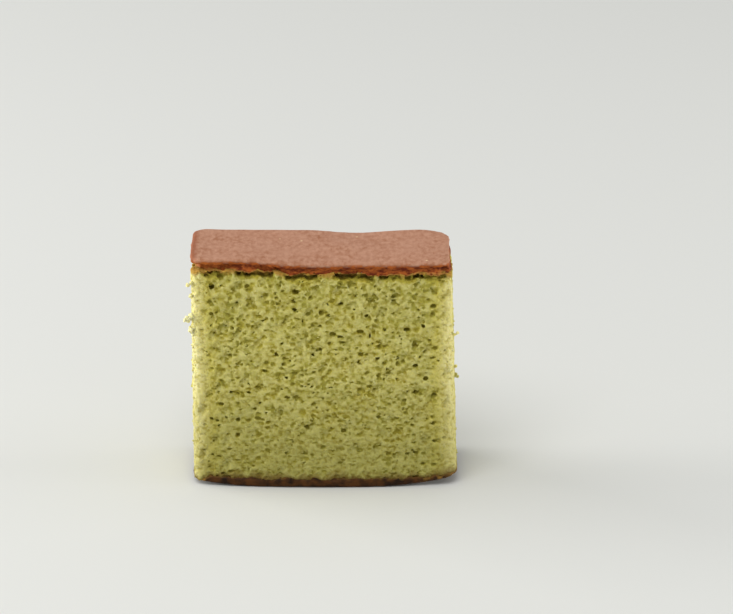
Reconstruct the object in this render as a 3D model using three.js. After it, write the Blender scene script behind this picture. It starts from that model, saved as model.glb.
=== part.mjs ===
// A cut slice of green tea castella, a fine Japanese sponge cake, standing on its base crust.
// Millimetres, +Z up, +X to the right. The two knife cuts face -Y (front) and +Y (back), and
// the origin is the middle of the underside. The crumb, the browned top crust and the thin
// base crust are one baked body, so the slice is one solid: a box divided into a grid, whose
// points are moved out to the real form by the functions below.
import * as THREE from "three";
import { ImprovedNoise } from "three/addons/math/ImprovedNoise.js";

// Driving dimensions of the slice
const HEIGHT = 59.2;
const DEPTH = 25.4; // between the two knife cuts, at the top
const TOP_WIDTH = 64.4; // crumb just under the top crust
const BASE_WIDTH = 66.2; // crumb at the base, which has settled a little wider
const LEAN = -0.6; // how far the top has moved along X while the slice settled

// Top crust: a skin that lies on the crumb a little askew, with a soft lip
const CRUST_THICKNESS = 1.7;
const CRUST_SHIFT = -0.55; // along X
const CRUST_LIP = 0.2; // how far it stands out over the crumb
const CRUST_SAG = 0.45; // largest wave of its lower line
const RIM_RADIUS = 0.8; // its top edge
const TOP_ROLL = 0.7; // rise of its front left corner
const TOP_DIP = 0.8; // hollow at the back, right of the middle
const OFF_SQUARE = 1.3; // how far the front cut runs back at the top left

// The crumb has torn back under the crust in a broken groove
const GROOVE_HEIGHT = 1.5;
const GROOVE_DEPTH = 1.3;

// Base: a thin dark crust with a flat foot under the middle, its two ends curled up
const BASE_CRUST = 1.7;
const BASE_LIP = 0.25;
const BASE_EDGE = 0.6; // bevel of the bottom edge
const FOOT = { left: -18, right: 12.5 }; // where the foot ends along X
const FOOT_HOLLOW = 0.05; // its long edges bow in, so that it stands on its four corners
const FOOT_STEP = 0.12; // the curl leaves the foot with a slight kink
const CURL = { left: 1.3, right: 2.3 }; // rise of each end
const CURL_REACH = 9; // height over which the curl dies away
const BELLY = { front: 2.0, back: 0.8 }; // how far the cuts swell in the middle of the base

// Upright edges, rounded in plan
const EDGE_RADIUS = { front: { left: 2.6, right: 3.0 }, back: { left: 3.2, right: 6.4 } };

// Relief of the crumb
const CRAG = 0.5; // roughness along the upright edges
const ROUGHNESS = 0.16; // of every crumb face
const PORE_DEPTH = { small: 0.5, large: 1.5 };
const PORE_COUNT = { front: 130, back: 130, left: 40, right: 40 };
const SEED = 20417;

// Grid: columns across the slice and through it, and rows of the crumb
const COLUMNS_X = 40;
const COLUMNS_Y = 13;
const CRUMB_ROWS = 27;
const EDGE_CROWDING = 0.22; // 0 spaces the columns evenly, more crowds them at the edges

const CRUST_FLOOR = HEIGHT - CRUST_THICKNESS;
const GROOVE_FLOOR = CRUST_FLOOR - GROOVE_HEIGHT;
const CRUMB_FLOOR = BASE_CRUST + 0.5;

const COLOURS = { crumb: 0xa8a155, topCrust: 0xb4846b, crustEdge: 0x7a3a1c, baseCrust: 0x473017 };

const { smoothstep, lerp, clamp } = THREE.MathUtils;
const perlin = new ImprovedNoise();

// Repeatable unevenness between -1 and 1, with bumps about `size` mm across
function unevenness(x, y, z, size) {
  const noise = perlin.noise(x / size + 17.3, y / size + 5.1, z / size + 31.7);
  return clamp(1.6 * noise, -1, 1);
}

function seededRandom(seed) {
  let state = seed >>> 0;
  return () => {
    state = (state + 0x6d2b79f5) >>> 0;
    let t = state;
    t = Math.imul(t ^ (t >>> 15), t | 1);
    t ^= t + Math.imul(t ^ (t >>> 7), t | 61);
    return ((t ^ (t >>> 14)) >>> 0) / 4294967296;
  };
}

const random = seededRandom(SEED);

// Heights of the grid rows, closer together where the section turns sharply
function rowHeights() {
  const base = [0, 0.4, 1.0, BASE_CRUST];
  const crumb = Array.from(
    { length: CRUMB_ROWS + 1 },
    (_, row) => lerp(CRUMB_FLOOR, GROOVE_FLOOR, row / CRUMB_ROWS),
  );
  const groove = [GROOVE_FLOOR + 0.45 * GROOVE_HEIGHT, CRUST_FLOOR - 0.15];
  const crust = [CRUST_FLOOR + 0.1, HEIGHT - RIM_RADIUS, HEIGHT - 0.3 * RIM_RADIUS, HEIGHT];
  return [...base, ...crumb, ...groove, ...crust];
}

const ROWS = rowHeights();
const FIRST_CRUMB_ROW = ROWS.indexOf(CRUMB_FLOOR);

// Open pores of one face, each a single grid point that is pushed in and has no pore beside
// it. They are larger and closer together towards the top.
function scatterPores(columns, count) {
  const pores = new Map();
  const crowded = (column, row) => {
    const steps = [-1, 0, 1];
    return steps.some((dx) => steps.some((dz) => pores.has(`${column + dx},${row + dz}`)));
  };
  while (pores.size < count) {
    const rise = random() ** 0.7;
    const column = 2 + Math.floor(random() * (columns - 3));
    const row = FIRST_CRUMB_ROW + 1 + Math.floor(rise * (CRUMB_ROWS - 1));
    const size = random() ** 2 * lerp(0.4, 1, rise);
    if (crowded(column, row)) continue;
    pores.set(`${column},${row}`, lerp(PORE_DEPTH.small, PORE_DEPTH.large, size));
  }
  return pores;
}

const PORES = {
  front: scatterPores(COLUMNS_X, PORE_COUNT.front),
  back: scatterPores(COLUMNS_X, PORE_COUNT.back),
  left: scatterPores(COLUMNS_Y, PORE_COUNT.left),
  right: scatterPores(COLUMNS_Y, PORE_COUNT.right),
};

// How far a grid point on a crumb face is pushed in by its pore, if it has one
function poreAt(column, through, row) {
  const depth = (face, place) => PORES[face].get(`${place},${row}`) ?? 0;
  const inwards = { x: 0, y: 0 };
  if (through === 0) inwards.y += depth("front", column);
  if (through === COLUMNS_Y) inwards.y -= depth("back", column);
  if (column === 0) inwards.x += depth("left", through);
  if (column === COLUMNS_X) inwards.x -= depth("right", through);
  return inwards;
}

// Crowds evenly spaced columns, -1 to 1, towards the edges
function crowd(t) {
  return lerp(t, Math.sin((Math.PI / 2) * t), EDGE_CROWDING);
}

// How far the section stands out from the crumb's plain faces, at a place on them
function standOut(x, y, z) {
  if (z >= CRUST_FLOOR) {
    const above = Math.max(0, z - (HEIGHT - RIM_RADIUS));
    const rim = RIM_RADIUS - Math.sqrt(RIM_RADIUS ** 2 - above ** 2);
    return CRUST_LIP + 0.15 * unevenness(x, y, z, 4) - rim;
  }
  if (z > GROOVE_FLOOR) {
    return -GROOVE_DEPTH * clamp(0.4 + 1.1 * unevenness(x, y, 0, 5), 0, 1);
  }
  if (z <= BASE_CRUST) return BASE_LIP - Math.max(0, BASE_EDGE - z);
  return ROUGHNESS * unevenness(x, y, z, 3.5);
}

// Pulls the square corners of a rectangle in to rounded ones, the points inside with them
function roundCorner(x, y, halfWidth, halfDepth) {
  const radius = EDGE_RADIUS[y < 0 ? "front" : "back"][x < 0 ? "left" : "right"];
  const centreX = Math.sign(x) * (halfWidth - radius);
  const centreY = Math.sign(y) * (halfDepth - radius);
  const dx = x - centreX;
  const dy = y - centreY;
  if (dx * Math.sign(x) <= 0 || dy * Math.sign(y) <= 0) return [x, y];
  const shrink = Math.max(Math.abs(dx), Math.abs(dy)) / Math.hypot(dx, dy);
  return [centreX + dx * shrink, centreY + dy * shrink];
}

// Rise of the underside where its ends curl up, dying away with height
function curl(x, z) {
  const side = x < 0 ? "left" : "right";
  const past = Math.abs(x) - Math.abs(FOOT[side]);
  if (past <= 0) return 0;
  const reach = past / (BASE_WIDTH / 2 - Math.abs(FOOT[side]));
  return lerp(FOOT_STEP, CURL[side], reach ** 1.8) * Math.exp(-z / CURL_REACH);
}

// Rise and fall of the top crust, which the crumb below follows less and less
function roll(x, y, z) {
  const frontLeft = TOP_ROLL * (1 - smoothstep(x, -19, -6)) * (1 - smoothstep(y, -8, DEPTH / 2));
  const hollow = TOP_DIP * Math.exp(-(((x - 11) / 11) ** 2)) * smoothstep(y, -4, DEPTH / 2);
  const ripple = 0.2 * unevenness(x, y, 0, 14);
  return (frontLeft - hollow + ripple) * (z / HEIGHT) ** 3;
}

// Share of the belly at a place along X: an arch, cut straight along the foot
function arch(x, onFoot) {
  const full = (place) => 1 - (place / (BASE_WIDTH / 2)) ** 2;
  const along = (x - FOOT.left) / (FOOT.right - FOOT.left);
  if (!onFoot || along < 0 || along > 1) return full(x);
  const straight = lerp(full(FOOT.left), full(FOOT.right), along);
  return straight - FOOT_HOLLOW * Math.sin(Math.PI * along);
}

// Swelling of the two cuts near the base, and the slant of the front one at the top left
function swell(x, acrossY, z) {
  const rise = z / HEIGHT;
  const belly = acrossY < 0 ? BELLY.front : BELLY.back;
  const bulge = belly * arch(x, z === 0) * (1 - rise) ** 0.7;
  const slant = OFF_SQUARE * (1 - smoothstep(x, -19, -6)) * rise ** 2;
  return bulge * acrossY + slant * Math.max(0, -acrossY);
}

// Where the grid point of a column across, a column through and a row stands in the slice
function place(column, through, row) {
  const z = ROWS[row];
  const rise = z / HEIGHT;
  const acrossX = crowd((2 * column) / COLUMNS_X - 1);
  const acrossY = crowd((2 * through) / COLUMNS_Y - 1);
  const crumbWidth = lerp(BASE_WIDTH, TOP_WIDTH, rise);
  const plainX = (acrossX * crumbWidth) / 2;
  const plainY = (acrossY * DEPTH) / 2;
  const onSide = column === 0 || column === COLUMNS_X;
  const onCut = through === 0 || through === COLUMNS_Y;

  const out = standOut(onSide ? Math.sign(acrossX) * 40 : plainX, plainY, z);
  const crag = onSide && onCut ? CRAG * unevenness(plainX, plainY, z, 2.6) : 0;
  const halfWidth = crumbWidth / 2 + out + crag;
  const halfDepth = DEPTH / 2 + out;
  const [x, y] = roundCorner(acrossX * halfWidth, acrossY * halfDepth, halfWidth, halfDepth);

  const pore = poreAt(column, through, row);
  const shift = LEAN * rise + (z >= CRUST_FLOOR ? CRUST_SHIFT : 0);
  const sagging = z > GROOVE_FLOOR && z < HEIGHT - RIM_RADIUS;
  const sag = sagging ? CRUST_SAG * unevenness(plainX, plainY, 0, 9) : 0;
  return new THREE.Vector3(
    x + shift + pore.x,
    y + swell(plainX, acrossY, z) + pore.y,
    z + curl(plainX, z) + roll(plainX, plainY, z) - sag,
  );
}

function colourAt(z) {
  if (z > HEIGHT - RIM_RADIUS / 2) return COLOURS.topCrust;
  if (z > CRUST_FLOOR) return COLOURS.crustEdge;
  return z < BASE_CRUST ? COLOURS.baseCrust : COLOURS.crumb;
}

function sliceGeometry() {
  const geometry = new THREE.BoxGeometry(2, 2, 1, COLUMNS_X, COLUMNS_Y, ROWS.length - 1);
  const position = geometry.getAttribute("position");
  const colours = new Float32Array(position.count * 3);
  const colour = new THREE.Color();
  for (let i = 0; i < position.count; i++) {
    const column = Math.round((position.getX(i) * 0.5 + 0.5) * COLUMNS_X);
    const through = Math.round((position.getY(i) * 0.5 + 0.5) * COLUMNS_Y);
    const row = Math.round((position.getZ(i) + 0.5) * (ROWS.length - 1));
    const placed = place(column, through, row);
    position.setXYZ(i, placed.x, placed.y, placed.z);
    colour.set(colourAt(ROWS[row])).toArray(colours, 3 * i);
  }
  geometry.setAttribute("color", new THREE.BufferAttribute(colours, 3));

  // Stand it on Z = 0 with the origin under the middle of its box
  geometry.computeBoundingBox();
  const { min, max } = geometry.boundingBox;
  geometry.translate(-(min.x + max.x) / 2, -(min.y + max.y) / 2, -min.z);
  geometry.computeVertexNormals();
  return geometry;
}

const castella = new THREE.Group();
const slice = new THREE.Mesh(
  sliceGeometry(),
  new THREE.MeshStandardMaterial({ vertexColors: true, roughness: 0.9, metalness: 0 }),
);
slice.name = "castella_slice";
castella.add(slice);

export default castella;
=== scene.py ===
"""Looks of a slice of green tea castella: porous crumb, matte browned top crust, thin dark base.

Metres, +Z up, in the frame's own axes: the front knife cut faces -Y. The frame's solid gives the
form, and three pieces stand for it, each grown from that form as a field of voxels:
  crumb       the green sponge, with every open pore as real geometry
  top_crust   the browned skin on top, with its torn dark edge
  base_crust  the thin dark skin under it
A fourth piece, crumbs, holds the loose bits that cling to the cuts.
"""

import math
from functools import partial

import bmesh
import bpy
from mathutils import Matrix, Vector, noise


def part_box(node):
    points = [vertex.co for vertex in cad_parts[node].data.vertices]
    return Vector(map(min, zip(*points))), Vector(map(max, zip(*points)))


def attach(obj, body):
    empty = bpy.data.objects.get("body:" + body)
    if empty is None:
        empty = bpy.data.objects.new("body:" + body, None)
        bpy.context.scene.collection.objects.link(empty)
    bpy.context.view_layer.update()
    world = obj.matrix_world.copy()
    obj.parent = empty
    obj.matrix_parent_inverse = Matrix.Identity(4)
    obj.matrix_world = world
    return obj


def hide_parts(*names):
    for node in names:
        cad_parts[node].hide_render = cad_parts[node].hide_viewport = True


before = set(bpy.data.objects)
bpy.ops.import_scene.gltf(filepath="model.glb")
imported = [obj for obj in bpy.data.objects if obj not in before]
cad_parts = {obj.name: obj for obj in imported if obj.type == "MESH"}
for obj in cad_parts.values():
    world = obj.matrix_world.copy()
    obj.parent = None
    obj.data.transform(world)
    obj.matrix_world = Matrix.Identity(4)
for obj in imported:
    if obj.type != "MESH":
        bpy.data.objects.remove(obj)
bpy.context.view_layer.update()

MM = 0.001
NODE = "castella_slice"
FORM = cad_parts[NODE]
LOW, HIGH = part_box(NODE)
PROBE = (0.31, -0.92, 0.17)  # a slanting direction, which runs along none of the form's faces

# Most triangles of each piece, and the points that a whole crumb or crust has at least: islands
# with fewer are sealed bubbles and scraps
MOST_TRIANGLES = {"crumb": 196000, "top_crust": 90000, "base_crust": 70000, "crumbs": 196000}
WHOLE_CRUMB, WHOLE_CRUST = 20000.0, 5000.0

# The trees' inputs. Middle and ends are a crust's thicknesses there, its tear is how far its torn
# line wanders, and the fray is how deep the cut through it is roughened
TOP_CRUST = {"Top Middle": 2.85 * MM, "Top Ends": 3.5 * MM, "Top Tear": 0.6 * MM}
BASE_CRUST = {"Base Middle": 2.5 * MM, "Base Ends": 1.4 * MM, "Base Tear": 0.75 * MM}
TOP_SIZES = {"Voxel": 0.25 * MM, "Fray": 0.8 * MM, **TOP_CRUST}
BASE_SIZES = {"Voxel": 0.25 * MM, "Fray": 0.4 * MM, **BASE_CRUST}

# Cells come in two kinds. Each has a radius between the least and the largest, and is open as far
# as its own reach behind the cut, between shallow and deep
LARGE_SPACING, SMALL_SPACING = 2.3 * MM, 1.25 * MM
CRUMB_SIZES = {
    "Voxel": 0.3 * MM,
    "Overlap": 0.5 * MM,  # how far the crumb runs on under a crust
    "Left Swell": 0.5 * MM,  # how far its left end stands out over the form's groove
    "Hollow Depth": 2.4 * MM,  # of the places where it has torn back under the top crust
    "Softness": 0.3 * MM,  # rounding of a cell's rim and bottom
    "Swirl": 1.15 * MM,  # how far the cells are stirred out of shape
    "Grain Depth": 0.3 * MM,  # of the torn cell walls all over it
    "Large Spacing": LARGE_SPACING,
    "Large Per Metre": 1 / LARGE_SPACING,
    "Large Least": 0.23 * MM,
    "Large Largest": 0.92 * MM,
    "Large Half Wall": 0.15 * MM,
    "Large Shallow": 0.55 * MM,
    "Large Deep": 1.5 * MM,
    "Small Spacing": SMALL_SPACING,
    "Small Per Metre": 1 / SMALL_SPACING,
    "Small Least": 0.325 * MM,
    "Small Largest": 0.8 * MM,
    "Small Half Wall": 0.1 * MM,
    "Small Shallow": 0.25 * MM,
    "Small Deep": 0.85 * MM,
    **TOP_CRUST,
    **BASE_CRUST,
}

# Loose grains: how many on a square metre, their sizes, and how far out they are few and then many
GRAIN_SIZES = {
    "Density": 2.2e5,
    "Least": 0.15 * MM,
    "Largest": 0.9 * MM,
    "Few Up To": HIGH.x - 5.0 * MM,
    "Many From": HIGH.x - 2.5 * MM,
}

LOW_RADIUS, LOW_REACH = 0.84, 0.6  # shares of a cell's radius and reach that are left at the base
EDGE_CELLS = 0.4  # share of both at the upright edges, which the knife pressed together
PRESSED, UNPRESSED = 3.5 * MM, 8.5 * MM  # from an upright edge: that share, and all of it
BACK_SHARE = 0.5  # how far the upright edges at the back take part in that, and in the painted edge glow
SQUASH, SQUASH_FADE = 1.7, 5.0  # times wider than tall are cells at the base; less so per metre up
READ_LOW, READ_HIGH = 4.0 * MM, 5.0 * MM  # from base and top: beyond them the cut is read mirrored
BASE_SHIFT = 5 * MM  # how far left of the middle the base crust is thickest
CORNER_GONE, CORNER_WHOLE = 4.8 * MM, 5.8 * MM  # the base's torn corner, along X and Y together

# Hollows under the top crust at the front cut: middle along X, half length and share of the depth
HOLLOWS = (
    (-27.4, 3.2, 0.55),
    (-17.0, 5.2, 1.0),
    (-5.6, 4.6, 0.9),
    (7.2, 5.6, 1.0),
    (16.4, 3.4, 0.5),
    (21.6, 2.0, 0.9),
    (27.0, 3.6, 0.65),
)
FRONT_CUT = 6 * MM  # how far behind the front they are at set places
HOLLOW_MIDDLE, HOLLOW_WAVE = 1.1 * MM, 0.9 * MM  # under the crust, and how far it is drawn up
HOLLOW_FULL, HOLLOW_ENDS = 0.45 * MM, 1.05 * MM  # over and under that: full depth, and none

# Crumbs that stuck out when the slice was cut, each a chain of lumps: place and radius
STRAYS = (
    ((-31.8, -9.6, 53.6, 0.7), (-32.8, -10.0, 53.3, 0.6), (-33.6, -10.2, 52.9, 0.55)),
    ((-31.8, -9.8, 50.4, 0.7), (-32.9, -10.0, 50.0, 0.55)),
    (
        (-31.9, -9.6, 44.8, 0.9),
        (-32.9, -9.9, 44.4, 0.85),
        (-33.8, -10.1, 43.9, 0.8),
        (-34.5, -10.3, 43.7, 0.5),
    ),
    ((-32.0, -9.8, 41.6, 1.0), (-32.8, -10.0, 40.9, 0.9), (-32.4, -10.1, 40.0, 0.7)),
    ((31.4, -9.6, 39.4, 0.6), (32.2, -9.9, 39.7, 0.55), (33.0, -10.2, 40.2, 0.4)),
    ((31.8, -9.8, 31.0, 0.6), (32.7, -10.0, 31.2, 0.45)),
    ((-32.0, 3.6, 20.8, 0.7), (-32.9, 4.0, 20.6, 0.6), (-33.5, 4.3, 20.2, 0.4)),
    ((32.0, 5.6, 22.6, 0.7), (32.9, 6.0, 22.4, 0.6), (33.5, 6.2, 22.0, 0.4)),
)
STRAY_BUMPS = ((0.7 * MM, 0.55), (0.3 * MM, 0.25))  # spacing, and height as a share of the radius
NO_CRUST = 20.0  # millimetres from a crust, which is too far to be browned by it


def add(tree, kind, *values, inputs=(), **settings):
    """Adds a node with its settings; links or sets its inputs, by order or by name."""
    node = tree.nodes.new(kind)
    for name, value in settings.items():
        setattr(node, name, value)
    for key, value in (*enumerate(values), *dict(inputs).items()):
        if isinstance(value, bpy.types.Node):
            value = value.outputs[0]
        if isinstance(value, bpy.types.NodeSocket):
            tree.links.new(value, node.inputs[key])
        else:
            node.inputs[key].default_value = value
    return node


# ---------------------------------------------------------------- voxel fields of the slice's form


def new_tree(name, sizes):
    """A Geometry Nodes tree whose inputs are a mesh, a material and named sizes."""
    tree = bpy.data.node_groups.new(name, "GeometryNodeTree")
    tree.interface.new_socket("Geometry", in_out="INPUT", socket_type="NodeSocketGeometry")
    tree.interface.new_socket("Material", in_out="INPUT", socket_type="NodeSocketMaterial")
    for label in sizes:
        tree.interface.new_socket(label, in_out="INPUT", socket_type="NodeSocketFloat")
    tree.interface.new_socket("Geometry", in_out="OUTPUT", socket_type="NodeSocketGeometry")
    return tree


def depth_inside(node, form, place):
    """Depth inside the form at a place, negative outside it."""
    near = {"Source Position": place}
    near = node("GeometryNodeProximity", form, inputs=near, target_element="FACES")
    ray = {"Source Position": place, "Ray Direction": PROBE, "Ray Length": 1.0}
    ray = node("GeometryNodeRaycast", form, inputs=ray)
    facing = node("ShaderNodeVectorMath", ray.outputs["Hit Normal"], PROBE, operation="DOT_PRODUCT")
    within = node("ShaderNodeMath", facing.outputs["Value"], 0.0, operation="GREATER_THAN")
    sign = node("ShaderNodeMath", within, 2.0, -1.0, operation="MULTIPLY_ADD")
    return node("ShaderNodeMath", near.outputs["Distance"], sign, operation="MULTIPLY")


def skin_depths(node, form, parts):
    """Depth under the form's top and height over its underside. Both levels are read a little
    in from the edges, where the rounded rim would otherwise count as top or underside."""
    clear = 10 * MM
    levels = []
    for origin, direction, missed, pull in (
        (HIGH.z + clear, -1.0, HIGH.z, (0.93, 0.82)),
        (LOW.z - clear, 1.0, LOW.z, (0.97, 0.85)),
    ):
        x = node("ShaderNodeMath", parts.outputs["X"], pull[0], operation="MULTIPLY")
        y = node("ShaderNodeMath", parts.outputs["Y"], pull[1], operation="MULTIPLY")
        source = node("ShaderNodeCombineXYZ", x, y, origin)
        drop = {"Source Position": source, "Ray Direction": (0.0, 0.0, direction), "Ray Length": 1.0}
        drop = node("GeometryNodeRaycast", form, inputs=drop)
        height = node("ShaderNodeSeparateXYZ", drop.outputs["Hit Position"]).outputs["Z"]
        level = node("GeometryNodeSwitch", drop.outputs["Is Hit"], missed, height, input_type="FLOAT")
        levels.append(level)
    under_top = node("ShaderNodeMath", levels[0], parts.outputs["Z"], operation="SUBTRACT")
    over_base = node("ShaderNodeMath", parts.outputs["Z"], levels[1], operation="SUBTRACT")
    return under_top, over_base


def torn_line(node, where, spacing, tear):
    """How far a crust's torn edge wanders up or down, which is its tear at most."""
    wave = {"Vector": where, "Scale": 1 / spacing, "Detail": 3.0, "Roughness": 0.65}
    wave = node("ShaderNodeTexNoise", inputs=wave)
    lowest = node("ShaderNodeMath", tear, -1.0, operation="MULTIPLY")
    ends = {"From Min": 0.25, "From Max": 0.75, "To Min": lowest, "To Max": tear}
    return node("ShaderNodeMapRange", wave.outputs["Fac"], inputs=ends)


def top_thickness(node, start, place, parts):
    """Thickness of the top crust, which grows towards the ends."""
    flat = node("ShaderNodeVectorMath", place, (1.0, 1.0, 0.0), operation="MULTIPLY")
    wave = torn_line(node, flat, 3.5 * MM, start["Top Tear"])
    off = node("ShaderNodeMath", parts.outputs["X"], operation="ABSOLUTE")
    mean = {"From Max": HIGH.x, "To Min": start["Top Middle"], "To Max": start["Top Ends"]}
    mean = node("ShaderNodeMapRange", off, inputs=mean)
    return node("ShaderNodeMath", mean, wave, operation="ADD")


def base_thickness(node, start, place, parts):
    """Thickness of the base crust: thinner to its ends, and torn off at the front left corner."""
    half = (HIGH.x - LOW.x) / 2
    off = node("ShaderNodeMath", parts.outputs["X"], BASE_SHIFT, operation="ADD")
    off = node("ShaderNodeMath", off, operation="ABSOLUTE")
    mean = {"From Min": 0.35 * half, "From Max": half + BASE_SHIFT}
    mean.update({"To Min": start["Base Middle"], "To Max": start["Base Ends"]})
    mean = node("ShaderNodeMapRange", off, inputs=mean, interpolation_type="SMOOTHSTEP")
    wave = torn_line(node, place, 1.7 * MM, start["Base Tear"])
    whole = node("ShaderNodeMath", mean, wave, operation="ADD")
    corner = node("ShaderNodeMath", parts.outputs["X"], parts.outputs["Y"], operation="ADD")
    left = {"From Min": LOW.x + LOW.y + CORNER_GONE, "From Max": LOW.x + LOW.y + CORNER_WHOLE}
    left = node("ShaderNodeMapRange", corner, inputs=left)
    return node("ShaderNodeMath", whole, left, operation="MULTIPLY")


def from_upright_edge(node, parts):
    """Distance over the cuts from the nearest upright edge, taken along X and Y. The back's edges count
    as farther, so that they are pressed less and take less of the painted edge glow."""
    off = node("ShaderNodeMath", parts.outputs["X"], operation="ABSOLUTE")
    forward = node("ShaderNodeMath", parts.outputs["Y"], -1.0, operation="MULTIPLY")
    back = node("ShaderNodeMath", parts.outputs["Y"], BACK_SHARE, operation="MULTIPLY")
    aside = node("ShaderNodeMath", forward, back, operation="MAXIMUM")
    off = node("ShaderNodeMath", off, aside, operation="ADD")
    return node("ShaderNodeMath", HIGH.x + HIGH.y, off, operation="SUBTRACT")


def voxel_mesh(node, body, voxel, floor, ceiling):
    """The surface where the body's depth crosses zero, on a grid of voxels between two heights."""
    margin = 1.0 * MM
    low = Vector((LOW.x - margin, LOW.y - margin, floor))
    high = Vector((HIGH.x + margin, HIGH.y + margin, ceiling))
    density = node("ShaderNodeMath", body, 1 / MM, operation="MULTIPLY")
    cube = {"Density": density, "Background": -1.0, "Min": low, "Max": high}
    for axis, size in zip("XYZ", high - low):
        cube[f"Resolution {axis}"] = node("ShaderNodeMath", size, voxel, operation="DIVIDE")
    cube = node("GeometryNodeVolumeCube", inputs=cube)
    surface = {"Volume": cube, "Threshold": 0.0}
    return node("GeometryNodeVolumeToMesh", inputs=surface, resolution_mode="GRID")


def keep_largest(node, mesh, least):
    """Drops sealed bubbles and loose scraps, which are islands of few points."""
    island = node("GeometryNodeInputMeshIsland").outputs["Island Index"]
    count = node("GeometryNodeAccumulateField", 1.0, island, data_type="FLOAT", domain="POINT")
    count = count.outputs["Total"]
    small = node("FunctionNodeCompare", count, least, data_type="FLOAT", operation="LESS_THAN")
    return node("GeometryNodeDeleteGeometry", mesh, small, domain="POINT")


def finish_tree(node, mesh, material, marks):
    """Stores the named fields, in millimetres, on the points, and ends the tree."""
    on_points = {"data_type": "FLOAT", "domain": "POINT"}
    for name, field in marks.items():
        mark = {"Name": name, "Value": node("ShaderNodeMath", field, 1 / MM, operation="MULTIPLY")}
        mesh = node("GeometryNodeStoreNamedAttribute", mesh, inputs=mark, **on_points)
    mesh = node("GeometryNodeSetShadeSmooth", mesh)
    mesh = node("GeometryNodeRealizeInstances", mesh)
    mesh = node("GeometryNodeSetMaterial", mesh, inputs={"Material": material})
    node("NodeGroupOutput", mesh)


# ---------------------------------------------------------------- crumb


def cut_depth(node, start, parts, rise):
    """Depth behind the cuts and sides alone: near the top and the underside it is read at the
    mirrored height, so that the cut runs straight on over the form's groove and under the crusts."""
    level = node("ShaderNodeClamp", parts.outputs["Z"], LOW.z + READ_LOW, HIGH.z - READ_HIGH)
    level = node("ShaderNodeMath", level, 2.0, operation="MULTIPLY")
    level = node("ShaderNodeMath", level, parts.outputs["Z"], operation="SUBTRACT")
    left = {"From Min": 0.0, "From Max": LOW.x, "To Max": start["Left Swell"]}
    left = node("ShaderNodeMapRange", parts.outputs["X"], inputs=left)
    across = node("ShaderNodeMath", left, rise, parts.outputs["X"], operation="MULTIPLY_ADD")
    there = node("ShaderNodeCombineXYZ", across, parts.outputs["Y"], level)
    return depth_inside(node, start["Geometry"], there)


def hollow_depth(node, start, parts, under_crust):
    """How deep the crumb has torn back under the top crust: at set places along the front cut,
    by chance along the others."""
    ragged = node("ShaderNodeTexNoise", inputs={"Scale": 1 / (1.6 * MM), "Detail": 2.0})
    ends = {"From Min": 0.32, "From Max": 0.6, "To Min": 0.2}
    ragged = node("ShaderNodeMapRange", ragged.outputs["Fac"], inputs=ends)
    named = 0.0
    for middle, half, most in HOLLOWS:
        off = node("ShaderNodeMath", parts.outputs["X"], middle * MM, operation="SUBTRACT")
        off = node("ShaderNodeMath", off, operation="ABSOLUTE")
        share = {"From Min": half * MM, "From Max": 0.75 * half * MM, "To Max": most}
        share = node("ShaderNodeMapRange", off, inputs=share, interpolation_type="SMOOTHSTEP")
        named = node("ShaderNodeMath", named, share, operation="MAXIMUM")
    flat = node("ShaderNodeCombineXYZ", parts.outputs["X"], parts.outputs["Y"], 0.0)
    chance = node("ShaderNodeTexNoise", inputs={"Vector": flat, "Scale": 1 / (9 * MM)})
    ends = {"From Min": 0.48, "From Max": 0.6}
    chance = node("ShaderNodeMapRange", chance.outputs["Fac"], inputs=ends)
    front = node("ShaderNodeMath", parts.outputs["Y"], LOW.y + FRONT_CUT, operation="LESS_THAN")
    share = node("ShaderNodeMix", front, inputs={"A": chance, "B": named}, data_type="FLOAT")
    below = node("ShaderNodeMath", ragged, HOLLOW_WAVE, under_crust, operation="MULTIPLY_ADD")
    off = node("ShaderNodeMath", below, HOLLOW_MIDDLE, operation="SUBTRACT")
    off = node("ShaderNodeMath", off, operation="ABSOLUTE")
    level = {"From Min": HOLLOW_ENDS, "From Max": HOLLOW_FULL}
    level = node("ShaderNodeMapRange", off, inputs=level, interpolation_type="SMOOTHSTEP")
    depth = node("ShaderNodeMath", share, level, operation="MULTIPLY")
    depth = node("ShaderNodeMath", depth, ragged, operation="MULTIPLY")
    return node("ShaderNodeMath", depth, start["Hollow Depth"], operation="MULTIPLY")


def stirred_place(node, start, place, parts):
    """Where the cells are read: squashed along Z, so that they are wider than tall near the base
    and nearly round near the top, and stirred."""
    height = parts.outputs["Z"]
    squash = node("ShaderNodeMath", height, -SQUASH_FADE, SQUASH, operation="MULTIPLY_ADD")
    tall = node("ShaderNodeMath", height, squash, operation="MULTIPLY")
    spot = node("ShaderNodeCombineXYZ", parts.outputs["X"], parts.outputs["Y"], tall)
    swirl = {"Vector": place, "Scale": 1 / (1.5 * MM), "Detail": 3.0, "Roughness": 0.65}
    swirl = node("ShaderNodeTexNoise", inputs=swirl).outputs["Color"]
    swirl = node("ShaderNodeVectorMath", swirl, (0.5, 0.5, 0.5), operation="SUBTRACT")
    swirl = node("ShaderNodeVectorMath", swirl, inputs={"Scale": start["Swirl"]}, operation="SCALE")
    return node("ShaderNodeVectorMath", spot, swirl, operation="ADD")


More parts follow.
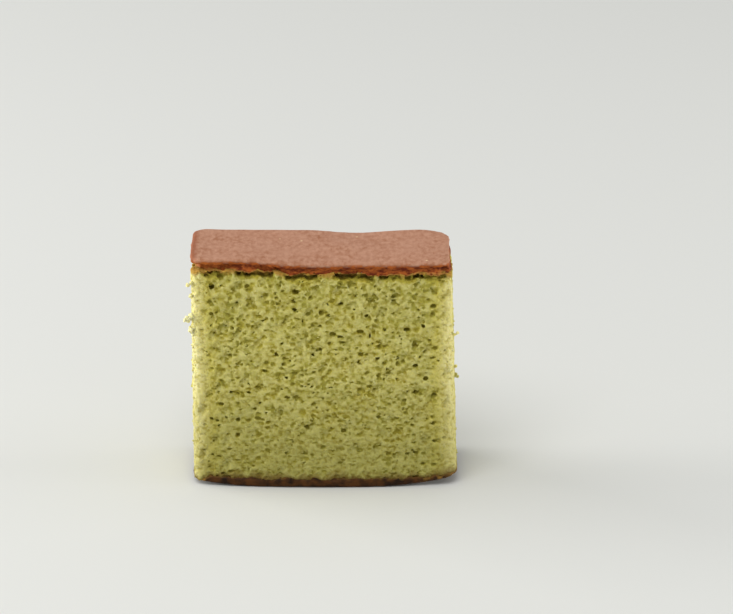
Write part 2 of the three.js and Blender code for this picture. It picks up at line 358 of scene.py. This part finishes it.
def cell_hollow(node, start, kind, spot, torn, width, extent):
    """Depth outside one kind of cell, negative in its hollow: a ball in each Voronoi cell, ended
    by the walls between the cells and by its own reach behind the cut."""
    spacing = start[f"{kind} Spacing"]
    pattern = {"Vector": spot, "Scale": start[f"{kind} Per Metre"]}
    cell = node("ShaderNodeTexVoronoi", inputs=pattern, feature="F1")
    border = node("ShaderNodeTexVoronoi", inputs=pattern, feature="DISTANCE_TO_EDGE")
    chances = node("ShaderNodeSeparateXYZ", cell.outputs["Color"]).outputs
    radius = {"To Min": start[f"{kind} Least"], "To Max": start[f"{kind} Largest"]}
    radius = node("ShaderNodeMapRange", chances["X"], inputs=radius)
    radius = node("ShaderNodeMath", radius, width, operation="MULTIPLY")
    away = node("ShaderNodeMath", cell.outputs["Distance"], spacing, operation="MULTIPLY")
    away = node("ShaderNodeMath", away, radius, operation="SUBTRACT")
    edge = node("ShaderNodeMath", border.outputs["Distance"], spacing, operation="MULTIPLY")
    edge = node("ShaderNodeMath", start[f"{kind} Half Wall"], edge, operation="SUBTRACT")
    reach = {"To Min": start[f"{kind} Shallow"], "To Max": start[f"{kind} Deep"]}
    reach = node("ShaderNodeMapRange", chances["Y"], inputs=reach)
    reach = node("ShaderNodeMath", reach, extent, operation="MULTIPLY")
    behind = node("ShaderNodeMath", torn, reach, operation="SUBTRACT")
    hollow = node("ShaderNodeMath", away, edge, operation="MAXIMUM")
    return node("ShaderNodeMath", hollow, behind, start["Softness"], operation="SMOOTH_MAX")


def crumb_tree():
    """The sponge between its crusts, grained all over and full of cells that open at its cuts."""
    tree = new_tree("porous_crumb", CRUMB_SIZES)
    node = partial(add, tree)
    start = node("NodeGroupInput").outputs
    place = node("GeometryNodeInputPosition")
    parts = node("ShaderNodeSeparateXYZ", place)
    under_top, over_base = skin_depths(node, start["Geometry"], parts)
    top = top_thickness(node, start, place, parts)
    base = base_thickness(node, start, place, parts)
    under_crust = node("ShaderNodeMath", under_top, top, operation="SUBTRACT")
    over_crust = node("ShaderNodeMath", over_base, base, operation="SUBTRACT")
    rise = {"From Min": LOW.z, "From Max": HIGH.z}
    rise = node("ShaderNodeMapRange", parts.outputs["Z"], inputs=rise)
    inside = cut_depth(node, start, parts, rise)
    gap = hollow_depth(node, start, parts, under_crust)
    torn = node("ShaderNodeMath", inside, gap, operation="SUBTRACT")

    # Cells are smaller and shallower near the base and at the upright edges
    width = node("ShaderNodeMapRange", rise, inputs={"To Min": LOW_RADIUS})
    extent = node("ShaderNodeMapRange", rise, inputs={"To Min": LOW_REACH})
    pressed = {"From Min": PRESSED, "From Max": UNPRESSED, "To Min": EDGE_CELLS}
    pressed = node("ShaderNodeMapRange", from_upright_edge(node, parts), inputs=pressed)
    width = node("ShaderNodeMath", width, pressed, operation="MULTIPLY")
    extent = node("ShaderNodeMath", extent, pressed, operation="MULTIPLY")

    # A fine grain of torn cell walls over all of it, and then the cells
    spot = stirred_place(node, start, place, parts)
    grain = {"Vector": spot, "Scale": 1 / (0.85 * MM), "Detail": 2.0}
    grain = node("ShaderNodeTexNoise", inputs=grain)
    ends = {"From Min": 0.38, "From Max": 0.68, "To Max": start["Grain Depth"]}
    grain = node("ShaderNodeMapRange", grain.outputs["Fac"], inputs=ends)
    grain = node("ShaderNodeMath", grain, extent, operation="MULTIPLY")
    body = node("ShaderNodeMath", torn, grain, operation="SUBTRACT")
    for kind in ("Large", "Small"):
        hollow = cell_hollow(node, start, kind, spot, torn, width, extent)
        body = node("ShaderNodeMath", body, hollow, start["Softness"], operation="SMOOTH_MIN")
    for limit, skin in ((under_crust, under_top), (over_crust, over_base)):
        limit = node("ShaderNodeMath", limit, start["Overlap"], operation="ADD")
        for end in (limit, skin):
            body = node("ShaderNodeMath", body, end, operation="MINIMUM")

    mesh = voxel_mesh(node, body, start["Voxel"], LOW.z - MM, HIGH.z + MM)
    mesh = keep_largest(node, mesh, WHOLE_CRUMB)
    marks = {"pore_depth": inside, "under_crust": under_crust, "over_crust": over_crust}
    finish_tree(node, mesh, start["Material"], marks)
    return tree


# ---------------------------------------------------------------- crusts


def crust_tree(name, sizes, on_top):
    """A skin of the form, as thick as its field says, with a torn edge at the cuts."""
    tree = new_tree(name, sizes)
    node = partial(add, tree)
    start = node("NodeGroupInput").outputs
    place = node("GeometryNodeInputPosition")
    parts = node("ShaderNodeSeparateXYZ", place)
    under_top, over_base = skin_depths(node, start["Geometry"], parts)
    inside = depth_inside(node, start["Geometry"], place)
    skin = under_top if on_top else over_base
    thickness = (top_thickness if on_top else base_thickness)(node, start, place, parts)
    to_edge = node("ShaderNodeMath", thickness, skin, operation="SUBTRACT")

    # The skin itself is whole; only the cut through it is frayed
    grain = {"Vector": place, "Scale": 1 / (1.1 * MM), "Detail": 2.0}
    grain = node("ShaderNodeTexNoise", inputs=grain)
    cut = node("ShaderNodeMapRange", skin, inputs={"From Min": 0.15 * MM, "From Max": 0.9 * MM})
    fray = node("ShaderNodeMath", grain.outputs["Fac"], cut, operation="MULTIPLY")
    fray = node("ShaderNodeMath", fray, start["Fray"], operation="MULTIPLY")
    body = node("ShaderNodeMath", inside, fray, operation="SUBTRACT")
    body = node("ShaderNodeMath", body, to_edge, operation="MINIMUM")
    deepest = 6.0 * MM
    floor, ceiling = (HIGH.z - deepest, HIGH.z + MM) if on_top else (LOW.z - MM, LOW.z + deepest)
    mesh = voxel_mesh(node, body, start["Voxel"], floor, ceiling)
    mesh = keep_largest(node, mesh, WHOLE_CRUST)
    marks = {"skin_depth": skin, "to_edge": to_edge, "thickness": thickness}
    finish_tree(node, mesh, start["Material"], marks)
    return tree


# ---------------------------------------------------------------- loose crumbs


def grain_tree():
    """Small irregular grains on the crumb's cuts, most of them near its ends."""
    tree = new_tree("loose_crumbs", GRAIN_SIZES)
    node = partial(add, tree)
    start = node("NodeGroupInput").outputs
    parts = node("ShaderNodeSeparateXYZ", node("GeometryNodeInputPosition"))
    off = node("ShaderNodeMath", parts.outputs["X"], operation="ABSOLUTE")
    near = {"From Min": start["Few Up To"], "From Max": start["Many From"], "To Min": 0.15}
    near = node("ShaderNodeMapRange", off, inputs=near)
    depth = node("GeometryNodeInputNamedAttribute", "pore_depth", data_type="FLOAT")
    outer = node("ShaderNodeMapRange", depth, inputs={"From Min": 0.4, "From Max": 0.2})
    density = node("ShaderNodeMath", near, outer, operation="MULTIPLY")
    density = node("ShaderNodeMath", density, start["Density"], operation="MULTIPLY")
    points = {"Density": density, "Seed": 11}
    points = node("GeometryNodeDistributePointsOnFaces", start["Geometry"], inputs=points)
    lump = node("GeometryNodeMeshCube", (1.0, 1.0, 1.0))
    lump = node("GeometryNodeSubdivisionSurface", lump, 1)
    turn = {"Min": (0.0, 0.0, 0.0), "Max": (6.3, 6.3, 6.3), "Seed": 1}
    turn = node("FunctionNodeRandomValue", inputs=turn, data_type="FLOAT_VECTOR")
    chance = node("FunctionNodeRandomValue", inputs={"Seed": 2}, data_type="FLOAT")
    chance = node("ShaderNodeMath", chance.outputs["Value"], 2.5, operation="POWER")
    size = {"To Min": start["Least"], "To Max": start["Largest"]}
    size = node("ShaderNodeMapRange", chance, inputs=size)
    stretch = {"Min": (0.7, 0.7, 0.5), "Max": (1.3, 1.2, 1.0), "Seed": 0}
    stretch = node("FunctionNodeRandomValue", inputs=stretch, data_type="FLOAT_VECTOR")
    size = node("ShaderNodeVectorMath", stretch, inputs={"Scale": size}, operation="SCALE")
    grains = {"Instance": lump, "Rotation": turn, "Scale": size}
    grains = node("GeometryNodeInstanceOnPoints", points, inputs=grains)
    mesh = node("GeometryNodeRealizeInstances", grains)
    bump = 0.35 * MM
    push = node("ShaderNodeTexNoise", inputs={"Scale": 1 / bump}).outputs["Color"]
    push = node("ShaderNodeVectorMath", push, (0.5, 0.5, 0.5), operation="SUBTRACT")
    push = node("ShaderNodeVectorMath", push, inputs={"Scale": bump}, operation="SCALE")
    mesh = node("GeometryNodeSetPosition", mesh, inputs={"Offset": push})
    finish_tree(node, mesh, start["Material"], {})
    return tree


def add_strays(piece):
    """Adds the chains of lumps that stick out of the sides to a mesh of crumbs."""
    made = bmesh.new()
    made.from_mesh(piece.data)
    crust_layers = [made.verts.layers.float[name] for name in ("under_crust", "over_crust")]
    for x, y, z, radius in (lump for chain in STRAYS for lump in chain):
        middle = Vector((x, y, z)) * MM
        place = Matrix.Translation(middle)
        ball = bmesh.ops.create_icosphere(made, subdivisions=3, radius=radius * MM, matrix=place)
        for vert in ball["verts"]:
            swell = 1.0
            for spacing, height in STRAY_BUMPS:
                swell += height * noise.noise(vert.co / spacing)
            vert.co = middle + (vert.co - middle) * swell
            for layer in crust_layers:
                vert[layer] = NO_CRUST
            for face in vert.link_faces:
                face.smooth = True
    made.to_mesh(piece.data)
    made.free()


# ---------------------------------------------------------------- plain meshes


def grow(name, source, tree, material, sizes):
    """Runs a tree on a copy of a mesh, thins the result and keeps it as a plain mesh."""
    piece = bpy.data.objects.new(name, source.copy())
    bpy.context.scene.collection.objects.link(piece)
    modifier = piece.modifiers.new("grow", "NODES")
    modifier.node_group = tree
    for item in tree.interface.items_tree:
        if item.in_out == "INPUT" and item.name == "Material":
            modifier[item.identifier] = material
        elif item.in_out == "INPUT" and item.name in sizes:
            modifier[item.identifier] = sizes[item.name]
    bake(piece)
    triangles = sum(len(polygon.vertices) - 2 for polygon in piece.data.polygons)
    if triangles > MOST_TRIANGLES[name]:
        piece.modifiers.new("thin", "DECIMATE").ratio = MOST_TRIANGLES[name] / triangles
        bake(piece)
    piece.data.name = name
    piece.data.materials.clear()
    piece.data.materials.append(material)
    piece.data.polygons.foreach_set("material_index", [0] * len(piece.data.polygons))
    return piece


def bake(piece):
    """Turns what the piece's modifiers make into its plain mesh."""
    evaluated = piece.evaluated_get(bpy.context.evaluated_depsgraph_get())
    made = bpy.data.meshes.new_from_object(evaluated)
    piece.modifiers.clear()
    piece.data = made


# ---------------------------------------------------------------- materials

SPAN = {"From Min": 0.35, "From Max": 0.65}  # where most of a noise's values lie


def linear(code):
    """Linear RGBA of an sRGB hex colour."""
    steps = [int(code[i : i + 2], 16) / 255 for i in (1, 3, 5)]
    return tuple(c / 12.92 if c <= 0.04045 else ((c + 0.055) / 1.055) ** 2.4 for c in steps) + (1.0,)


def new_material(name, **sockets):
    """A material with its shader's own sockets set, its tree and its shader."""
    material = bpy.data.materials.new(name)
    material.use_nodes = True
    tree = material.node_tree
    shader = next(node for node in tree.nodes if node.type == "BSDF_PRINCIPLED")
    for label, value in sockets.items():
        shader.inputs[label.replace("_", " ")].default_value = value
    return material, tree, shader


def painted_edge_glow(node, place, parts):
    """Share of a painted glow on the crumb: most along the upright edges of the cuts, less so near the
    base.
    """
    ragged = {"Vector": place, "Scale": 1 / (1.5 * MM), "Detail": 2.0}
    ragged = node("ShaderNodeTexNoise", inputs=ragged).outputs["Fac"]
    distance = from_upright_edge(node, parts)
    distance = node("ShaderNodeMath", ragged, 3 * MM, distance, operation="MULTIPLY_ADD")
    ends = {"From Min": 11.5 * MM, "From Max": 5 * MM}
    edge_glow = node("ShaderNodeMapRange", distance, inputs=ends)
    ends = {"From Max": HIGH.z / 2, "To Min": 0.8}
    high = node("ShaderNodeMapRange", parts.outputs["Z"], inputs=ends)
    return node("ShaderNodeMath", edge_glow, high, operation="MULTIPLY")


def browning(node, place, under):
    """How far the crumb has browned against the top crust and against the base crust."""
    over = node("ShaderNodeAttribute", attribute_name="over_crust").outputs["Fac"]
    patchy = {"Vector": place, "Scale": 1 / (2.5 * MM), "Detail": 2.0}
    patchy = node("ShaderNodeTexNoise", inputs=patchy).outputs["Fac"]
    patchy = node("ShaderNodeMapRange", patchy, inputs={**SPAN, "To Min": 0.1, "To Max": 1.3})
    golden = node("ShaderNodeMapRange", under, inputs={"From Min": patchy, "From Max": -0.2})
    reach = node("ShaderNodeMath", patchy, 1.8, 0.6, operation="MULTIPLY_ADD")
    stained = node("ShaderNodeMapRange", over, inputs={"From Min": reach, "From Max": -0.3})
    return golden, stained


def crumb_material():
    """Baked sponge with green tea: matte and open, and a little light goes through it, so that thin
    walls glow. Its colour adds painted light and shade: paler raised ridges, a painted glow along the
    upright edges, and painted shade that turns deep pores a dark olive."""
    material, tree, shader = new_material(
        "green_tea_sponge",
        Roughness=0.85,
        Specular_IOR_Level=0.2,
        Subsurface_Weight=0.4,
        Subsurface_Radius=(1.0, 0.85, 0.35),
        Subsurface_Scale=1.5 * MM,
    )
    node = partial(add, tree)
    place = node("ShaderNodeTexCoord").outputs["Object"]
    parts = node("ShaderNodeSeparateXYZ", place)
    depth = node("ShaderNodeAttribute", attribute_name="pore_depth").outputs["Fac"]
    blotch = {"Vector": place, "Scale": 1 / (5 * MM), "Detail": 2.0}
    blotch = node("ShaderNodeTexNoise", inputs=blotch).outputs["Fac"]
    blotch = node("ShaderNodeMapRange", blotch, inputs={"From Min": 0.4, "From Max": 0.7})
    # Painted light and shade by depth behind the cut: paler on the raised ridges, a dark olive deep in
    # the pores
    lit_ridge = node("ShaderNodeMapRange", depth, inputs={"From Min": 0.35, "From Max": 0.02})
    deep = node("ShaderNodeMapRange", depth, inputs={"From Min": 0.4, "From Max": 1.3})

    # A painted glow along the upright edges of the cuts: yellow first, and then nearly white
    edge_glow = painted_edge_glow(node, place, parts)
    yellow = node("ShaderNodeMapRange", edge_glow, inputs={"From Max": 0.7})
    white = node("ShaderNodeMapRange", edge_glow, inputs={"From Min": 0.35})

    # Mottled darker in the dips of the fine bump, a painted shade of cells too fine for the mesh, and
    # darker towards the base
    fine = {"Vector": place, "Scale": 1 / (1.0 * MM), "Detail": 1.5, "Roughness": 0.5}
    fine = node("ShaderNodeTexNoise", inputs=fine).outputs["Fac"]
    ends = {"From Min": 0.5, "From Max": 0.3, "To Max": 0.9}
    mottle = node("ShaderNodeMapRange", fine, inputs=ends)
    ends = {"From Min": LOW.z + 32 * MM, "From Max": LOW.z + 8 * MM}
    low = node("ShaderNodeMapRange", parts.outputs["Z"], inputs=ends)

    # Painted shade deep in the hollows under the top crust; golden or stained where it browned against a
    # crust
    under = node("ShaderNodeAttribute", attribute_name="under_crust").outputs["Fac"]
    hollow = node("ShaderNodeMapRange", depth, inputs={"From Min": 0.9, "From Max": 1.9})
    close = node("ShaderNodeMapRange", under, inputs={"From Min": 3.0, "From Max": 1.6})
    hollow = node("ShaderNodeMath", hollow, close, operation="MULTIPLY")
    golden, stained = browning(node, place, under)
    colour = linear("#aaa245")
    for share, tint, blend in (
        (blotch, "#b3a63e", "MIX"),
        (lit_ridge, "#d2cb80", "MIX"),
        (yellow, "#cec158", "MIX"),
        (white, "#e5dea8", "MIX"),
        (deep, "#7b6f14", "MIX"),
        (mottle, "#d6cfa2", "MULTIPLY"),
        (low, "#d9d9cb", "MULTIPLY"),
        (hollow, "#54460f", "MIX"),
        (golden, "#a98236", "MIX"),
        (stained, "#6c5622", "MIX"),
    ):
        pair = {"A": colour, "B": linear(tint)}
        colour = node("ShaderNodeMix", share, inputs=pair, data_type="RGBA", blend_type=blend)
        colour = colour.outputs["Result"]
    tree.links.new(colour, shader.inputs["Base Color"])
    bump = node("ShaderNodeBump", inputs={"Height": fine, "Distance": 0.6 * MM})
    tree.links.new(bump.outputs["Normal"], shader.inputs["Normal"])
    return material


def skin_colour(node, place, drawn, off):
    """The top crust's skin: cloudy and grainy, paler than its own brown by a painted sheen, with pale
    specks, and darker at its ends.
    """
    cloud = {"Vector": drawn, "Scale": 1 / (4 * MM), "Detail": 5.0, "Roughness": 0.65}
    cloud = node("ShaderNodeTexNoise", inputs=cloud).outputs["Fac"]
    cloud = node("ShaderNodeMapRange", cloud, inputs=SPAN)
    dust_and_sheen = {"Vector": drawn, "Scale": 1 / (1.1 * MM), "Detail": 3.0, "Roughness": 0.6}
    dust_and_sheen = node("ShaderNodeTexNoise", inputs=dust_and_sheen).outputs["Fac"]
    dust_and_sheen = node("ShaderNodeMapRange", dust_and_sheen, inputs=SPAN)
    speck = {"Vector": place, "Scale": 1 / (5 * MM)}
    speck = node("ShaderNodeTexVoronoi", inputs=speck).outputs["Distance"]
    speck = node("ShaderNodeMapRange", speck, inputs={"From Min": 0.07, "From Max": 0.04})
    rim = {"From Min": HIGH.x - 2.4 * MM, "From Max": HIGH.x - 1.2 * MM, "To Max": 0.7}
    rim = node("ShaderNodeMapRange", off, inputs=rim)
    # The cloud and grain tints are paler than the crust's own brown: real grain with a painted sheen
    colour = linear("#a06a4b")
    for share, tint in ((cloud, "#b28065"), (dust_and_sheen, "#be8d72"), (speck, "#e3c79a"), (rim, "#93502f")):
        pair = {"A": colour, "B": linear(tint)}
        colour = node("ShaderNodeMix", share, inputs=pair, data_type="RGBA").outputs["Result"]
    return colour


def cut_colour(node, parts, off, streak):
    """The cut through the top crust: streaked red-brown, brighter towards its left end by painted light,
    and golden where it meets the crumb.
    """
    # Painted light: the cut is brighter towards its left end, where the side light falls on it
    left = {"From Min": LOW.x + 14 * MM, "From Max": LOW.x + 2 * MM, "To Max": 0.6}
    left = node("ShaderNodeMapRange", parts.outputs["X"], inputs=left)
    edge = node("ShaderNodeAttribute", attribute_name="to_edge").outputs["Fac"]
    broad = {"From Min": 0.3 * HIGH.x, "From Max": HIGH.x, "To Min": 0.3, "To Max": 1.1}
    broad = node("ShaderNodeMapRange", off, inputs=broad)
    ragged = node("ShaderNodeMath", streak, 0.6, 0.6, operation="MULTIPLY_ADD")
    broad = node("ShaderNodeMath", broad, ragged, operation="MULTIPLY")
    gold = node("ShaderNodeMapRange", edge, inputs={"From Min": broad, "From Max": 0.0})
    colour = linear("#601f04")
    for share, tint in ((streak, "#ad5a22"), (left, "#b06224"), (gold, "#b88b42")):
        pair = {"A": colour, "B": linear(tint)}
        colour = node("ShaderNodeMix", share, inputs=pair, data_type="RGBA").outputs["Result"]
    return colour


def top_crust_material():
    """Browned skin of a baked sponge: a dry, matte top that catches a pale haze, with more of that sheen
    painted into its colour, and a dark red-brown cut edge that turns golden where it meets the crumb."""
    material, tree, shader = new_material("browned_crust", Roughness=0.6, Specular_IOR_Level=0.15)
    node = partial(add, tree)
    place = node("ShaderNodeTexCoord").outputs["Object"]
    parts = node("ShaderNodeSeparateXYZ", place)
    off = node("ShaderNodeMath", parts.outputs["X"], operation="ABSOLUTE")
    drawn = node("ShaderNodeVectorMath", place, (1.0, 0.55, 1.0), operation="MULTIPLY")
    flat = node("ShaderNodeVectorMath", place, (0.6, 1.0, 1.5), operation="MULTIPLY")
    streak = {"Vector": flat, "Scale": 1 / (1.3 * MM), "Detail": 3.0, "Roughness": 0.7}
    streak = node("ShaderNodeTexNoise", inputs=streak).outputs["Fac"]
    streak = node("ShaderNodeMapRange", streak, inputs={"From Min": 0.4, "From Max": 0.62})
    depth = node("ShaderNodeAttribute", attribute_name="skin_depth").outputs["Fac"]
    depth = node("ShaderNodeMath", streak, 0.5, depth, operation="MULTIPLY_ADD")
    under = node("ShaderNodeMapRange", depth, inputs={"From Min": 0.5, "From Max": 1.15})
    pair = {"A": skin_colour(node, place, drawn, off), "B": cut_colour(node, parts, off, streak)}
    colour = node("ShaderNodeMix", under, inputs=pair, data_type="RGBA").outputs["Result"]
    tree.links.new(colour, shader.inputs["Base Color"])
    relief = node("ShaderNodeTexNoise", inputs={"Vector": drawn, "Scale": 1 / (0.6 * MM), "Detail": 2.0})
    bump = node("ShaderNodeBump", inputs={"Height": relief.outputs["Fac"], "Distance": 0.06 * MM})
    tree.links.new(bump.outputs["Normal"], shader.inputs["Normal"])
    return material


def base_crust_material():
    """Base crust that lay on the paper: thin, close and dark brown, paler where it is thinnest."""
    material, tree, shader = new_material("dark_base_crust", Roughness=0.6, Specular_IOR_Level=0.15)
    node = partial(add, tree)
    place = node("ShaderNodeTexCoord").outputs["Object"]
    parts = node("ShaderNodeSeparateXYZ", place).outputs
    cloud = node("ShaderNodeTexNoise", inputs={"Vector": place, "Scale": 1 / (2.2 * MM), "Detail": 3.0})
    cloud = node("ShaderNodeMapRange", cloud.outputs["Fac"], inputs=SPAN)
    thickness = node("ShaderNodeAttribute", attribute_name="thickness").outputs["Fac"]
    thin = node("ShaderNodeMapRange", thickness, inputs={"From Min": 1.5, "From Max": 0.8})
    corner = node("ShaderNodeMath", parts["X"], parts["Y"], operation="SUBTRACT")
    ends = {"From Min": HIGH.x - LOW.y - 5.5 * MM, "From Max": HIGH.x - LOW.y - 2.8 * MM, "To Max": 0.9}
    tip = node("ShaderNodeMapRange", corner, inputs=ends)
    thin = node("ShaderNodeMath", thin, tip, operation="MAXIMUM")
    edge = node("ShaderNodeAttribute", attribute_name="to_edge").outputs["Fac"]
    upper = node("ShaderNodeMapRange", edge, inputs={"From Min": 0.4, "From Max": 0.0, "To Max": 0.5})
    colour = linear("#221003")
    for share, tint in ((cloud, "#52300f"), (thin, "#96702f"), (upper, "#7a5c20")):
        pair = {"A": colour, "B": linear(tint)}
        colour = node("ShaderNodeMix", share, inputs=pair, data_type="RGBA").outputs["Result"]
    tree.links.new(colour, shader.inputs["Base Color"])
    relief = node("ShaderNodeTexNoise", inputs={"Vector": place, "Scale": 1 / (0.5 * MM), "Detail": 3.0})
    bump = node("ShaderNodeBump", inputs={"Height": relief.outputs["Fac"], "Distance": 0.1 * MM})
    tree.links.new(bump.outputs["Normal"], shader.inputs["Normal"])
    return material


def floor_material():
    """Painted board: white and dull, so that no light shows in it."""
    white = linear("#dbdbd6")
    return new_material("white_board", Base_Color=white, Roughness=0.9, Specular_IOR_Level=0.1)[0]


# ---------------------------------------------------------------- floor, light and camera

# Camera: tilt in degrees, distance in metres, focal length times tan(tilt) in pixels (the
# floor's vanishing line is that far over the middle) and where the base's front middle shows
PICTURE = (733, 614)
CAMERA_TILT = 21.0
CAMERA_DISTANCE = 1.07
VANISHING = 1640.0
BASE_PIXEL = (324.6, 488.5)

# Lights: place, size and watts. The glows face the two sides, so that the upright edges shine
LIGHTS = {
    "window": ((-1.1, 0.35, 0.35), (0.8, 0.9), 9.0),
    "left_glow": ((-0.9, 0.04, 0.14), (0.5, 0.2), 3.4),
    "right_glow": ((0.9, 0.02, 0.14), (0.5, 0.2), 4.0),
    "fill": ((-0.3, -0.75, 1.4), (1.1, 0.9), 11.7),
}


def make_camera():
    """Looks down along +Y at the tilt of the picture, with the slice at its place in the frame."""
    tilt = math.radians(CAMERA_TILT)
    forward = Vector((0.0, math.cos(tilt), -math.sin(tilt)))
    up = Vector((0.0, math.sin(tilt), math.cos(tilt)))
    focal = VANISHING / math.tan(tilt)
    across = (BASE_PIXEL[0] - PICTURE[0] / 2) / focal
    rise = (PICTURE[1] / 2 - BASE_PIXEL[1]) / focal
    ray = forward + Vector((across, 0.0, 0.0)) + up * rise
    data = bpy.data.cameras.new("camera")
    data.sensor_width = 36.0
    data.lens = focal * data.sensor_width / PICTURE[0]
    data.clip_end = 20.0
    camera = bpy.data.objects.new("camera", data)
    camera.location = Vector((0.0, LOW.y, LOW.z)) - ray * CAMERA_DISTANCE
    camera.rotation_mode = "QUATERNION"
    camera.rotation_quaternion = forward.to_track_quat("-Z", "Y")
    bpy.context.scene.collection.objects.link(camera)
    bpy.context.scene.camera = camera


def area_light(name, place, size, power):
    """A soft white rectangle of light that faces the middle of the slice."""
    data = bpy.data.lights.new(name, "AREA")
    data.shape = "RECTANGLE"
    data.size, data.size_y = size
    data.energy = power
    light = bpy.data.objects.new(name, data)
    light.location = place
    light.rotation_mode = "QUATERNION"
    towards = Vector((0.0, 0.0, HIGH.z / 2)) - Vector(place)
    light.rotation_quaternion = towards.to_track_quat("-Z", "Y")
    bpy.context.scene.collection.objects.link(light)


def make_studio():
    """A wide white board to stand on, an even pale surround and the lights."""
    bpy.ops.mesh.primitive_plane_add(size=8.0, location=(0, 0, LOW.z))
    floor = bpy.context.object
    floor.name = "floor"
    floor.data.materials.append(floor_material())
    world = bpy.data.worlds.new("world")
    world.use_nodes = True
    surround = world.node_tree.nodes["Background"]
    surround.inputs["Color"].default_value = linear("#f4f6f8")
    surround.inputs["Strength"].default_value = 0.5
    bpy.context.scene.world = world
    for name, (place, size, power) in LIGHTS.items():
        area_light(name, place, size, power)
    bpy.context.scene.view_settings.view_transform = "Standard"


make_camera()
make_studio()
sponge, browned, dark = crumb_material(), top_crust_material(), base_crust_material()
crumb = grow("crumb", FORM.data, crumb_tree(), sponge, CRUMB_SIZES)
top_tree = crust_tree("top_skin", TOP_SIZES, True)
top_crust = grow("top_crust", FORM.data, top_tree, browned, TOP_SIZES)
base_tree = crust_tree("base_skin", BASE_SIZES, False)
base_crust = grow("base_crust", FORM.data, base_tree, dark, BASE_SIZES)
crumbs = grow("crumbs", crumb.data, grain_tree(), sponge, GRAIN_SIZES)
add_strays(crumbs)
for piece, slot in (
    (crumb, "crumb"),
    (top_crust, "top_crust"),
    (base_crust, "base_crust"),
    (crumbs, "crumb"),
):
    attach(piece, "root")
    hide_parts(NODE)
